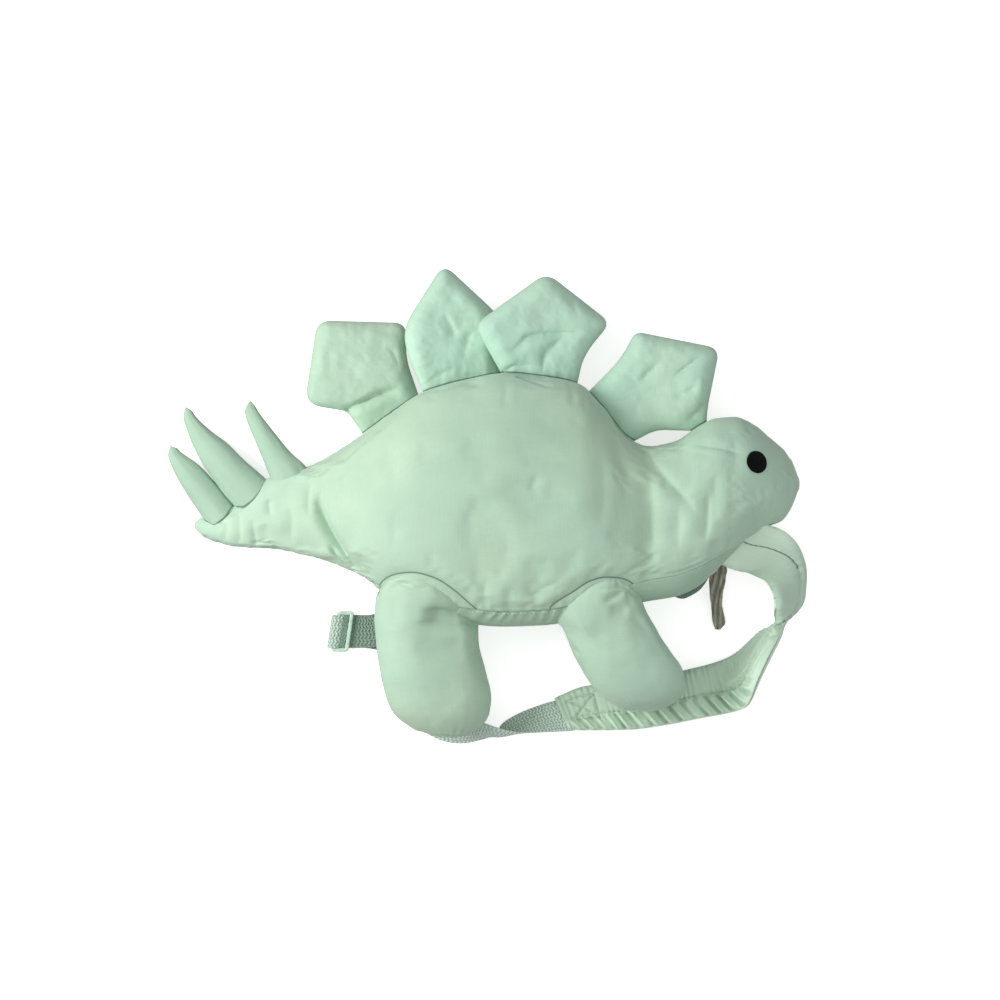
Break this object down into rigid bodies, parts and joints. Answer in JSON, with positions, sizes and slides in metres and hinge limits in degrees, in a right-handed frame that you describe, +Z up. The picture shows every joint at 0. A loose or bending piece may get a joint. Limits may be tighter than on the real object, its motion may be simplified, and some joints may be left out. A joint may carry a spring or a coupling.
{
  "type": "plush animal backpack",
  "caption": "Small soft backpack shaped like a plate-backed dinosaur, with stuffed legs, plates and tail spikes, a zipped hollow body and padded shoulder straps, lying flat.",
  "frame": {"origin": "on the floor under the middle of the object as it lies on its back panel", "axes": "+X towards the head, +Y towards the back plates, +Z up, out of the front panel"},
  "size_m": [0.4841, 0.3608, 0.0963],
  "materials": {
    "cloth": "plain-weave cotton, matt",
    "zip_tape": "woven tape with moulded coil",
    "slider_metal": "satin",
    "ribbon": "ribbed ribbon",
    "eye_thread": "satin-stitch thread",
    "webbing": "ribbed webbing",
    "slide_plastic": "moulded, semi-matt"
  },
  "bodies": {
    "root": {"front_panel": "cloth", "back_panel": "cloth", "belly_gusset": "cloth", "leg_rear": "cloth", "leg_front": "cloth", "plate_1": "cloth", "plate_2": "cloth", "plate_3": "cloth", "plate_4": "cloth", "tail_spike_1": "cloth", "tail_spike_2": "cloth", "tail_spike_3": "cloth", "belly_strap_pad": "cloth", "spine_strap_pad": "cloth", "zip_tape": "zip_tape", "zip_slider": "slider_metal", "zip_pull": "ribbon", "eye": "eye_thread", "belly_strap_webbing": "webbing", "spine_strap_webbing": "webbing", "belly_strap_slide": "slide_plastic"}
  },
  "joints": []
}
